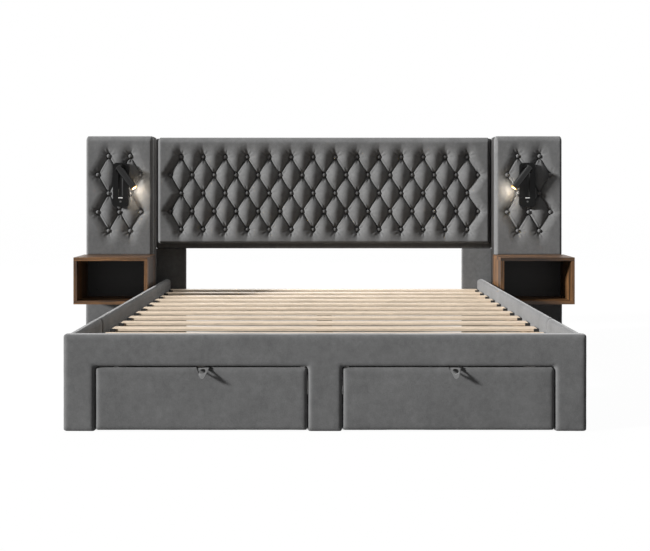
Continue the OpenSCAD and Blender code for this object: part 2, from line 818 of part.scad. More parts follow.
// A hollow tube with a closed, bevelled upper end and holes for the tilt pins.
module lamp_tube(e) {
    bevel = 2;
    color("black") placed() on_side(e) tube_frame() difference() {
        translate([0, 0, tube_back - tube_l]) rotate_extrude() polygon([
            [0, tube_l], [tube_r - bevel, tube_l], [tube_r, tube_l - bevel], [tube_r, ring_l],
            [tube_r - tube_wall, ring_l], [tube_r - tube_wall, tube_l - tube_wall],
            [0, tube_l - tube_wall]]);
        for (s = [-1, 1]) mirror([s < 0 ? 1 : 0, 0, 0])
            translate([tube_r - tube_wall - 1, 0, 0]) rotate([0, 90, 0])
                cylinder(h = tube_wall + 2, r = pin_r + run_gap);
    }
}

// The trim ring closes the tube's lower end and holds the lens.
module lamp_ring(e) {
    lip = 2;
    color("gold") placed() on_side(e) tube_frame() translate([0, 0, tube_back - tube_l])
        rotate_extrude() polygon([
            [tube_r - tube_wall - lip, 0], [tube_r, 0], [tube_r, ring_l],
            [tube_r - tube_wall, ring_l], [tube_r - tube_wall, 1], [tube_r - tube_wall - lip, 1]]);
}

module lamp_lens(e) {
    color("lightyellow") placed() on_side(e) tube_frame()
        translate([0, 0, tube_back - tube_l + 1]) cylinder(h = lens_t, r = tube_r - tube_wall);
}

// The insert of the charging port, with a shallow slot.
module lamp_port(e) {
    color("white") placed() on_side(e) difference() {
        box_at([lamp_x - port_w / 2, block_y, port_z - port_h / 2], [port_w, port_depth, port_h]);
        box_at([lamp_x - port_w / 4, block_y - 1, port_z - port_h / 6], [port_w / 2, 3, port_h / 3]);
    }
}

// A round push button that stands out of the lower block by its travel and a little more.
module lamp_switch(e) {
    proud = switch_travel + 0.5;
    color("dimgray") placed() on_side(e)
        rod_y(switch_r, switch_depth - switch_travel - soft_gap + proud, lamp_x, block_y - proud, switch_z);
}

// ---------------------------------------------------------------- nodes

footboard();
bay_partitions();
bay_back();
slide_channels();
slats();
slat_holders();
centre_beam();
beam_legs();
beam_feet();
head_cross_rail();
corner_brackets();
headboard_board();
headboard_legs();
headboard_pad();
headboard_buttons();
nightstand_bolts();
for (e = ends) {
    bay_side(e);
    side_rail(e);
    ledger(e);
    wing_box(e);
    wing_cover(e);
    wing_pad(e);
    wing_buttons(e);
    nightstand_board(e, stand_top - stand_t);
    nightstand_board(e, stand_z);
    nightstand_sides(e);
    nightstand_back(e);
    lamp_base(e);
    lamp_yoke(e);
    lamp_tube(e);
    lamp_ring(e);
    lamp_lens(e);
    lamp_port(e);
    lamp_switch(e);
    drawer_front(e);
    drawer_box(e);
    drawer_bottom(e);
    drawer_pull(e);
}
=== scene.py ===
"""Looks of an upholstered platform bed with tufted headboard, nightstands and reading lamps."""

import json
import logging
import math
from collections.abc import Iterator
from contextlib import contextmanager
from dataclasses import dataclass, field, replace
from enum import Enum

import bpy
import numpy as np
from mathutils import Euler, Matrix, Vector, noise

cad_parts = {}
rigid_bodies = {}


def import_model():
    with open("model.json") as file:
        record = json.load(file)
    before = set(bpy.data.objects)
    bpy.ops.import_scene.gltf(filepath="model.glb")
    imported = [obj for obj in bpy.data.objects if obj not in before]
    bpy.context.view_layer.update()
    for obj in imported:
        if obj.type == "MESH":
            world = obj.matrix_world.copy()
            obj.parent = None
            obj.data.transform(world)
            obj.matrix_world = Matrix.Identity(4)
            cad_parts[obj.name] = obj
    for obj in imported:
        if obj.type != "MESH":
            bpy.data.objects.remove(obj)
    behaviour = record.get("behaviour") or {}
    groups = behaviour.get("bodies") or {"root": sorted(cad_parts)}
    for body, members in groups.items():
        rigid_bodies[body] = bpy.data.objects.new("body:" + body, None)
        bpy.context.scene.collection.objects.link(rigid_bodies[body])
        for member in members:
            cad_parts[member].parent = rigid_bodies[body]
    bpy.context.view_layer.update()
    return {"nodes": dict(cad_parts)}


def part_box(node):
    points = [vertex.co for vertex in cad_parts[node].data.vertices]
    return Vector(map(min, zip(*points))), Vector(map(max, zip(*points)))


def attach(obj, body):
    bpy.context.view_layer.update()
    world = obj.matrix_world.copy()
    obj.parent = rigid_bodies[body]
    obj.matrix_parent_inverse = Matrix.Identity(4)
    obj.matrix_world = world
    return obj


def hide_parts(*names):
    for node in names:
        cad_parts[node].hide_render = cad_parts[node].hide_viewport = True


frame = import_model()
log = logging.getLogger("bed")

Material = bpy.types.Material
Piece = bpy.types.Object
Socket = bpy.types.NodeSocket
Colour = tuple[float, float, float]
Place = tuple[float, float, float]

SIDES = ("left", "right")
WHITE = (1.0, 1.0, 1.0)


# ---------------------------------------------------------------- node trees

def tone(level: float, warmth: float = 0.0) -> Colour:
    """Returns a near-grey linear colour from a 0 to 1 display level, warmer for a positive warmth."""
    linear = ((level + 0.055) / 1.055) ** 2.4
    return (linear * (1 + warmth), linear, linear * (1 - warmth))


def dyed(red: float, green: float, blue: float) -> Colour:
    """Returns the linear colour of a 0 to 255 display colour."""
    return tuple(((c / 255 + 0.055) / 1.055) ** 2.4 for c in (red, green, blue))


class Tree:
    """The nodes of a material or of the surroundings."""

    def __init__(self, owner: Material | bpy.types.World) -> None:
        """Takes up the owner's nodes.

        Args:
            owner: the material or the world.
        """
        owner.use_nodes = True
        self.nodes = owner.node_tree.nodes
        self.links = owner.node_tree.links

    def add(self, kind: str, values: dict | None = None, **settings: object) -> bpy.types.Node:
        """Adds a node.

        Args:
            kind: the node's type.
            values: input name or index to a value or an output socket.
            **settings: attributes of the node.

        Returns:
            The new node.
        """
        node = self.nodes.new(kind)
        for key, value in settings.items():
            setattr(node, key, value)
        for key, value in (values or {}).items():
            if isinstance(value, Socket):
                self.links.new(value, node.inputs[key])
            else:
                node.inputs[key].default_value = value
        return node

    def calc(self, how: str, *values: object) -> Socket:
        """Returns the result of a math node, such as ADD or MAXIMUM."""
        return self.add("ShaderNodeMath", dict(enumerate(values)), operation=how).outputs[0]

    def share(self, value: Socket, start: float, end: float) -> Socket:
        """Returns 0 where the value is at the start and 1 where it is at the end."""
        return self.add("ShaderNodeMapRange", {"Value": value, "From Min": start, "From Max": end}).outputs[0]

    def level(self, value: Socket, low: float, high: float) -> Socket:
        """Maps a 0 to 1 value to low to high."""
        return self.add("ShaderNodeMapRange", {"Value": value, "To Min": low, "To Max": high}).outputs[0]

    def background_rays(self) -> Socket:
        """Tells which rays see the plain background.

        Returns:
            1 for rays from the camera, through glass and off gloss, 0 for those that light things.
        """
        path = self.add("ShaderNodeLightPath").outputs
        direct = self.calc("MAXIMUM", path["Is Camera Ray"], path["Is Transmission Ray"])
        return self.calc("MAXIMUM", direct, path["Is Glossy Ray"])


class Graph(Tree):
    """A material's nodes, from its patterns to the shader."""

    def __init__(self, name: str) -> None:
        """Starts a material.

        Args:
            name: the material's name.
        """
        self.material = bpy.data.materials.new(name)
        super().__init__(self.material)
        self.shader = self.nodes["Principled BSDF"]
        self.coords = self.add("ShaderNodeTexCoord").outputs["Object"]

    def stretched(self, scale: Place) -> Socket:
        """Returns the object coordinates scaled along each axis."""
        return self.add("ShaderNodeMapping", {"Vector": self.coords, "Scale": scale}).outputs[0]

    def noise(self, scale: float, detail: float = 2.0, rough: float = 0.5,
              vector: Socket | None = None) -> Socket:
        """Adds a noise pattern.

        Args:
            scale: cells per metre.
            detail: octaves.
            rough: weight of the finer octaves.
            vector: coordinates, or the object's own.

        Returns:
            The pattern's value.
        """
        node = self.add("ShaderNodeTexNoise", {"Vector": vector or self.coords, "Scale": scale,
                                               "Detail": detail, "Roughness": rough})
        return node.outputs["Fac"]

    def ramp(self, value: Socket, *stops: tuple[float, Colour]) -> Socket:
        """Maps a value to colours.

        Args:
            value: the pattern.
            *stops: two pairs of a place from 0 to 1 and its colour.

        Returns:
            The colour.
        """
        node = self.add("ShaderNodeValToRGB", {"Fac": value})
        for point, (place, colour) in zip(node.color_ramp.elements, stops):
            point.position, point.color = place, (*colour, 1.0)
        return node.outputs["Color"]

    def uneven(self, value: Socket, colour: Colour, shade: float,
               stops: tuple[float, float] = (0.3, 0.7)) -> Socket:
        """Varies a colour down to a darker shade of it.

        Args:
            value: the pattern, darkest where it is low.
            colour: the full colour.
            shade: the darkest share of it.
            stops: the pattern's values at the darkest and the full colour.

        Returns:
            The varied colour.
        """
        dark = tuple(c * shade for c in colour)
        return self.ramp(value, (stops[0], dark), (stops[1], colour))

    def multiply(self, share: float, a: Socket, b: Socket) -> Socket:
        """Multiplies two colours.

        Args:
            share: how far b counts.
            a: first colour.
            b: second colour.

        Returns:
            The product.
        """
        node = self.add("ShaderNodeMix", {0: share, 6: a, 7: b}, data_type="RGBA", blend_type="MULTIPLY")
        return node.outputs[2]

    def spotted(self, colour: Socket, pattern: Socket, stops: tuple[float, float], darkest: float,
                share: float) -> Socket:
        """Darkens a colour in spots.

        Args:
            colour: the colour.
            pattern: where the spots are, darkest where it is low.
            stops: the pattern's values at the darkest and the clear places.
            darkest: display level of white in the darkest spots.
            share: strength of the effect.

        Returns:
            The spotted colour.
        """
        spots = self.ramp(pattern, (stops[0], tone(darkest)), (stops[1], WHITE))
        return self.multiply(share, colour, spots)

    def bump(self, height: Socket, strength: float, depth: float, below: Socket | None = None) -> Socket:
        """Adds a bump.

        Args:
            height: the pattern.
            strength: share of the full effect.
            depth: height in metres.
            below: the normal of a coarser bump.

        Returns:
            The bumped normal.
        """
        node = self.add("ShaderNodeBump", {"Height": height, "Strength": strength, "Distance": depth})
        if below is not None:
            self.links.new(below, node.inputs["Normal"])
        return node.outputs[0]

    def shade(self, **inputs: object) -> Material:
        """Sets the shader's sockets, where an underscore stands for a space.

        Args:
            **inputs: socket names to a value or an output socket.

        Returns:
            The finished material.
        """
        for key, value in inputs.items():
            socket = self.shader.inputs[key.replace("_", " ")]
            if isinstance(value, Socket):
                self.links.new(value, socket)
            elif isinstance(value, tuple):
                socket.default_value = (*value, 1.0)
            else:
                socket.default_value = value
        return self.material


# ---------------------------------------------------------------- finishes

class Grain(Enum):
    """The axis that a board's grain runs along."""

    ACROSS = 0
    ALONG = 1
    UPRIGHT = 2


@dataclass(frozen=True)
class Velvet:
    """Short-pile grey upholstery cloth, its patterns in cells per metre."""

    name: str = "grey_velvet"
    level: float = 0.43
    streaks: float = 0.025  # how far the brush marks darken and lighten it
    warmth: float = -0.002
    sheen: float = 0.45
    brush_marks: float = 9.0
    mottling: float = 55.0
    threads: float = 420.0
    pile: float = 700.0

    def material(self) -> Material:
        """Makes the cloth with its weave, brush marks and sheen.

        Returns:
            The material.
        """
        g = Graph(self.name)
        brushed = g.noise(self.brush_marks, 3, 0.6, g.stretched((1.0, 1.0, 0.6)))
        mottle = g.noise(self.mottling, 3, 0.6)
        pile = g.noise(self.pile, 2, 0.7)
        dark, light = (tone(self.level + step, self.warmth) for step in (-self.streaks, self.streaks))
        colour = g.ramp(brushed, (0.3, dark), (0.7, light))
        colour = g.spotted(colour, mottle, (0.3, 0.72), darkest=0.88, share=0.8)
        colour = g.spotted(colour, pile, (0.3, 0.75), darkest=0.68, share=0.6)
        thread = {"Vector": g.coords, "Scale": self.threads, "Distortion": 1.5, "Detail": 1.0}
        warp, weft = (g.add("ShaderNodeTexWave", thread, bands_direction=axis).outputs["Fac"]
                      for axis in ("X", "Z"))
        normal = g.bump(g.multiply(1.0, warp, weft), 0.25, 0.0004, g.bump(mottle, 0.35, 0.0012))
        normal = g.bump(pile, 0.2, 0.0005, normal)
        return g.shade(Base_Color=colour, Roughness=g.level(mottle, 0.78, 0.95), Normal=normal,
                       Sheen_Weight=self.sheen, Sheen_Roughness=0.4, Sheen_Tint=tone(0.8),
                       Specular_IOR_Level=0.25)


@dataclass(frozen=True)
class Lining:
    """Thin black dust cloth over a rear opening."""

    name: str = "black_lining"
    fibres: float = 900.0

    def material(self) -> Material:
        """Makes the lining with its bonded fibres.

        Returns:
            The material.
        """
        g = Graph(self.name)
        fibres = g.noise(self.fibres, 3, 0.7)
        colour = g.ramp(fibres, (0.3, tone(0.1)), (0.8, tone(0.2)))
        return g.shade(Base_Color=colour, Roughness=0.95, Normal=g.bump(fibres, 0.5, 0.0004))


@dataclass(frozen=True)
class Wood:
    """A sawn, veneered or laminated board."""

    name: str
    dark: Colour
    light: Colour
    streaks: float  # growth streaks per metre across the grain
    rough: float
    contrast: float = 0.5
    grain: Grain = Grain.ACROSS
    stretch: float = 0.055  # cells per metre along the grain, as a share of those across it
    fine: float = 9.0  # fine lines for each growth streak
    pores: float = 40.0  # pores for each growth streak
    varied: float = 0.08  # how far the roughness goes up and down

    def material(self) -> Material:
        """Makes the wood with growth streaks, pores and a soft lacquer.

        Returns:
            The material.
        """
        g = Graph(f"{self.name}_{self.grain.name.lower()}")
        scale = [1.0, 1.0, 1.0]
        scale[self.grain.value] = self.stretch
        along = g.stretched(tuple(scale))
        streak = g.noise(self.streaks, 4, 0.55, along)
        fine = g.noise(self.streaks * self.fine, 3, 0.65, along)
        pores = g.noise(self.streaks * self.pores, 2, 0.6, along)
        low = max(0.0, 0.5 - 0.12 / self.contrast)
        colour = g.ramp(streak, (low, self.dark), (1.0 - low, self.light))
        colour = g.spotted(colour, fine, (0.38, 0.6), darkest=0.6, share=self.contrast)
        colour = g.spotted(colour, pores, (0.3, 0.5), darkest=0.7, share=0.5)
        normal = g.bump(pores, 0.25, 0.0003, g.bump(fine, 0.2, 0.0004))
        rough = g.level(fine, self.rough - self.varied, self.rough + self.varied)
        return g.shade(Base_Color=colour, Roughness=rough, Normal=normal, Specular_IOR_Level=0.4)


@dataclass(frozen=True)
class Metal:
    """A bare or painted metal surface, its patterns in cells per metre."""

    name: str
    colour: Colour
    metallic: float
    rough: float
    specular: float = 0.5
    brushed: float = 0.0
    scratches: float = 500.0
    orange_peel: float = 260.0
    smudges: float = 35.0

    def material(self) -> Material:
        """Makes the metal with fine scratches or orange peel.

        Returns:
            The material.
        """
        g = Graph(self.name)
        if self.brushed:
            marks = g.noise(self.scratches, 3, 0.7, g.stretched((1.0, 0.04, 1.0)))
        else:
            marks = g.noise(self.orange_peel)
        smudge = g.noise(self.smudges)
        rough = g.level(smudge, self.rough * 0.85, self.rough * 1.2)
        return g.shade(Base_Color=g.uneven(smudge, self.colour, 0.88), Metallic=self.metallic,
                       Roughness=rough, Specular_IOR_Level=self.specular,
                       Normal=g.bump(marks, 0.15 + self.brushed, 0.0002))


@dataclass(frozen=True)
class Plastic:
    """A moulded plastic, its patterns in cells per metre."""

    name: str
    colour: Colour
    rough: float
    stipple: float = 1400.0
    clouds: float = 40.0

    def material(self) -> Material:
        """Makes the plastic with its moulded texture.

        Returns:
            The material.
        """
        g = Graph(self.name)
        return g.shade(Base_Color=g.uneven(g.noise(self.clouds), self.colour, 0.85), Roughness=self.rough,
                       Normal=g.bump(g.noise(self.stipple, 2, 0.6), 0.3, 0.0002))


@dataclass(frozen=True)
class Glow:
    """A frosted lens lit from behind."""

    name: str
    colour: Colour
    strength: float
    frost: float = 800.0

    def material(self) -> Material:
        """Makes the lit lens.

        Returns:
            The material.
        """
        g = Graph(self.name)
        colour = g.uneven(g.noise(self.frost, 2, 0.6), self.colour, 0.8, (0.2, 0.8))
        return g.shade(Base_Color=colour, Roughness=0.4, Emission_Color=self.colour,
                       Emission_Strength=self.strength)


# ---------------------------------------------------------------- modelling helpers

def clear_selection() -> None:
    """Leaves edit mode and deselects everything."""
    if bpy.context.object and bpy.context.object.mode != "OBJECT":
        bpy.ops.object.mode_set(mode="OBJECT")
    bpy.ops.object.select_all(action="DESELECT")


def use(piece: Piece) -> None:
    """Makes one object the selected and active one.

    Args:
        piece: the object.
    """
    clear_selection()
    piece.select_set(True)
    bpy.context.view_layer.objects.active = piece


@contextmanager
def editing(piece: Piece, kind: str = "VERT") -> Iterator[None]:
    """Selects a whole mesh in edit mode, and goes back to object mode at the end.

    Args:
        piece: the mesh object.
        kind: VERT, EDGE or FACE, what is selected.

    Yields:
        Nothing: edit mode lasts as long as the with block.
    """
    use(piece)
    bpy.ops.object.mode_set(mode="EDIT")
    bpy.ops.mesh.select_mode(type=kind)
    bpy.ops.mesh.select_all(action="SELECT")
    yield
    bpy.ops.object.mode_set(mode="OBJECT")


def choose_faces(piece: Piece, chosen: np.ndarray) -> None:
    """Selects some faces of a mesh and no others, and stays in edit mode.

    Args:
        piece: the mesh object.
        chosen: True for each face that is selected.
    """
    with editing(piece, "FACE"):
        bpy.ops.mesh.select_all(action="DESELECT")
    piece.data.polygons.foreach_set("select", chosen)
    bpy.ops.object.mode_set(mode="EDIT")


def face_outwards(piece: Piece) -> None:
    """Turns all the faces of a closed mesh outwards."""
    with editing(piece):
        bpy.ops.mesh.normals_make_consistent(inside=False)


def add_object(name: str, data: bpy.types.ID) -> Piece:
    """Adds an object to the scene.

    Args:
        name: its name.
        data: its mesh, light or camera.

    Returns:
        The object.
    """
    piece = bpy.data.objects.new(name, data)
    bpy.context.scene.collection.objects.link(piece)
    return piece


def apply_modifier(piece: Piece, kind: str, **settings: object) -> None:
    """Adds a modifier and applies it.

    Args:
        piece: the object.
        kind: the modifier's type.
        **settings: attributes of the modifier.
    """
    use(piece)
    modifier = piece.modifiers.new(kind.lower(), kind)
    for key, value in settings.items():
        setattr(modifier, key, value)
    bpy.ops.object.modifier_apply(modifier=modifier.name)


def rows_of(items: bpy.types.bpy_prop_collection, name: str) -> np.ndarray:
    """Reads a vector of each of a mesh's vertices or faces.

    Args:
        items: the vertices or faces.
        name: the vector's name.

    Returns:
        The vectors, one row each.
    """
    flat = np.empty(len(items) * 3)
    items.foreach_get(name, flat)
    return flat.reshape(-1, 3)


def points(piece: Piece) -> np.ndarray:
    """Returns the places of a mesh's vertices, one row each."""
    return rows_of(piece.data.vertices, "co")


def move_points(piece: Piece, places: np.ndarray) -> None:
    """Sets the places of a mesh's vertices."""
    piece.data.vertices.foreach_set("co", places.ravel())
    piece.data.update()


def corners(node: str) -> tuple[np.ndarray, np.ndarray]:
    """Returns a CAD node's lowest and highest corner."""
    low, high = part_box(node)
    return np.array(low), np.array(high)


def ripple(places: np.ndarray, scale: float, seed: float) -> np.ndarray:
    """Returns smooth noise from about -1 to 1 at each place.

    Args:
        places: one row each.
        scale: cells per metre.
        seed: moves the pattern.

    Returns:
        The noise.
    """
    return np.array([noise.noise(Vector((x * scale + seed, y * scale, z * scale - seed)))
                     for x, y, z in places])


def bell(distance: np.ndarray, width: float) -> np.ndarray:
    """Returns 1 at no distance, falling smoothly to nothing over about two widths."""
    return np.exp(-((distance / width) ** 2))


def grid_on(xs: np.ndarray, zs: np.ndarray) -> tuple[Piece, np.ndarray, np.ndarray]:
    """Adds a grid and says which upright and level lines cross at each vertex.

    Args:
        xs: places of the upright lines.
        zs: heights of the level lines.

    Returns:
        The grid, and each vertex's place across and height.
    """
    columns, rows = len(xs) - 1, len(zs) - 1
    clear_selection()
    bpy.ops.mesh.primitive_grid_add(x_subdivisions=columns, y_subdivisions=rows, size=2)
    piece = bpy.context.object
    co = points(piece)
    column = np.rint((co[:, 0] + 1) / 2 * columns).astype(int)
    row = np.rint((co[:, 1] + 1) / 2 * rows).astype(int)
    return piece, xs[column], zs[row]


def settle(piece: Piece, name: str, body: str, material: Material,
           replaced: str, angle: float = 60.0) -> Piece:
    """Finishes a piece: names it, dresses it and puts it on its body.

    Args:
        piece: the object.
        name: its name.
        body: the body that it rides on.
        material: its material.
        replaced: the CAD node that it stands for.
        angle: edges sharper than this many degrees stay sharp.

    Returns:
        The piece.
    """
    use(piece)
    bpy.ops.object.transform_apply(location=True, rotation=True, scale=True)
    bpy.ops.object.shade_smooth_by_angle(angle=math.radians(angle))
    piece.name = piece.data.name = name
    piece.data.materials.clear()
    piece.data.materials.append(material)
    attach(piece, body)
    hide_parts(replaced)
    log.info("%s: %d faces on %s", name, len(piece.data.polygons), body)
    return piece


def copy_of(node: str) -> Piece:
    """Copies a CAD node and merges its loose triangles, ready for modifiers.

    Args:
        node: the CAD node.

    Returns:
        The copy.
    """
    piece = add_object(f"{node}_copy", frame["nodes"][node].data.copy())
    with editing(piece):
        bpy.ops.mesh.remove_doubles(threshold=0.00001)
        bpy.ops.mesh.dissolve_limited(angle_limit=math.radians(0.5))
    return piece


def dress(material: Material, *nodes: str) -> None:
    """Gives CAD nodes a material.

    Args:
        material: the material.
        *nodes: the nodes.
    """
    for node in nodes:
        piece = frame["nodes"][node]
        for place in piece.material_slots:
            place.material = material
        if not piece.material_slots:
            piece.data.materials.append(material)
        log.info("%s: finished in %s", node, material.name)


# ---------------------------------------------------------------- upholstery

@dataclass
class WrappedPanel:
    """A board under thin foam and tightly drawn cloth."""

    node: str
    mesh_size: float = 0.0045
    passes: int = 3
    crown: float = 0.0012
    crown_run: float = 0.03  # length over which the crown rises from an edge
    dents: float = 0.0005
    dent_sizes: tuple[Place, ...] = ((1.0, 9.0, 2.3), (0.5, 31.0, 5.1))  # share, cells per metre, seed
    tail: float = 0.0  # radius of the upper corner at the head end

    def swell(self, co: np.ndarray, facing: np.ndarray) -> np.ndarray:
        """Works out how far the foam stands out at each point.

        Args:
            co: the points' places.
            facing: their normals.

        Returns:
            The distances in metres.
        """
        low, high = corners(self.node)
        inset = np.minimum(co - low, high - co)
        through = np.argmax(np.abs(facing), axis=1)
        inset[np.arange(len(co)), through] = np.inf
        crown = 1 - np.exp(-np.clip(inset.min(axis=1), 0, None) / self.crown_run)
        dents = sum(share * ripple(co, scale, seed) for share, scale, seed in self.dent_sizes)
        return self.crown * crown + self.dents * dents

    def round_tail(self, co: np.ndarray) -> None:
        """Rounds the upper corner at the head end.

        Args:
            co: the points' places, which it changes.
        """
        back, top = corners(self.node)[1][1:] - self.tail
        along, up = co[:, 1] - back, co[:, 2] - top
        reach = np.hypot(along, up)
        outside = (along > 0) & (up > 0) & (reach > self.tail)
        shrink = self.tail / reach[outside]
        co[outside, 1] = back + along[outside] * shrink
        co[outside, 2] = top + up[outside] * shrink

    def soften(self, piece: Piece) -> None:
        """Rounds the board's edges and gives its faces the foam's crown and faint dents.

        Args:
            piece: the board.
        """
        apply_modifier(piece, "REMESH", mode="VOXEL", voxel_size=self.mesh_size)
        apply_modifier(piece, "SMOOTH", factor=0.5, iterations=self.passes)
        co, facing = points(piece), rows_of(piece.data.vertices, "normal")
        co += facing * self.swell(co, facing)[:, None]
        if self.tail:
            self.round_tail(co)
        co[:, 2] = np.maximum(co[:, 2], corners(self.node)[0][2])
        move_points(piece, co)

    def build(self, cloth: Material) -> None:
        """Builds and places the panel.

        Args:
            cloth: its cover.
        """
        piece = copy_of(self.node)
        self.soften(piece)
        settle(piece, f"{self.node}_wrap", "bed", cloth, self.node)


@dataclass
class WrappedSlab:
    """A flat upholstered panel cut from a row of rectangles, with soft faces and crisp corners."""

    node: str
    xs: tuple[float, ...]
    zs: tuple[float, ...]
    gaps: tuple[tuple[int, int], ...] = ()  # column and row of each rectangle that is left out
    body: str = "bed"
    edge: float = 0.0105
    corner: float = 0.3  # width of the edges round the outline, as a share of the other edges'

    def blank(self) -> Piece:
        """Saws the panel as a square-edged board.

        Returns:
            The board.
        """
        low, high = corners(self.node)
        piece, x, z = grid_on(np.array(self.xs), np.array(self.zs))
        move_points(piece, np.stack([x, np.full(len(x), low[1]), z], axis=1))
        centres = rows_of(piece.data.polygons, "center")
        cells = zip(np.searchsorted(self.xs, centres[:, 0]) - 1, np.searchsorted(self.zs, centres[:, 2]) - 1)
        choose_faces(piece, np.array([cell in self.gaps for cell in cells]))
        bpy.ops.mesh.delete(type="FACE")
        with editing(piece):
            bpy.ops.mesh.extrude_region_move(TRANSFORM_OT_translate={"value": (0, high[1] - low[1], 0)})
            bpy.ops.mesh.select_all(action="SELECT")
            bpy.ops.mesh.dissolve_limited(angle_limit=math.radians(1))
        face_outwards(piece)
        return piece

    def build(self, cloth: Material) -> None:
        """Builds and places the panel.

        Args:
            cloth: its cover.
        """
        piece = self.blank()
        mesh = piece.data
        weights = mesh.attributes.new("bevel_weight_edge", "FLOAT", "EDGE")
        for edge in mesh.edges:
            start, end = (mesh.vertices[v].co for v in edge.vertices)
            weights.data[edge.index].value = 1.0 if abs(start.y - end.y) < 1e-5 else self.corner
        apply_modifier(piece, "BEVEL", width=self.edge, segments=4, limit_method="WEIGHT")
        WrappedPanel(self.node, passes=2).soften(piece)
        settle(piece, f"{self.node}_wrap", self.body, cloth, self.node)


@dataclass(frozen=True)
class CoveredButton:
    """A domed button covered in cloth, its back cut flat."""

    radius: float = 0.0090
    cut: float = 0.0068  # from its middle to its back, before it is flattened
    flatness: float = 0.62
    segments: int = 14
    rings: int = 9

    def model(self) -> Piece:
        """Makes one button at the origin, its dome towards -Y.

        Returns:
            The button.
        """
        clear_selection()
        bpy.ops.mesh.primitive_uv_sphere_add(segments=self.segments, ring_count=self.rings,
                                             radius=self.radius)
        knob = bpy.context.object
        with editing(knob):
            bpy.ops.mesh.bisect(plane_co=(0, 0, -self.cut), plane_no=(0, 0, 1), clear_inner=True,
                                use_fill=True)
            bpy.ops.mesh.select_all(action="SELECT")
            bpy.ops.transform.resize(value=(1, 1, self.flatness), center_override=(0, 0, 0))
        co = points(knob)
        move_points(knob, np.stack([co[:, 0], -co[:, 2], co[:, 1]], axis=1))
        return knob


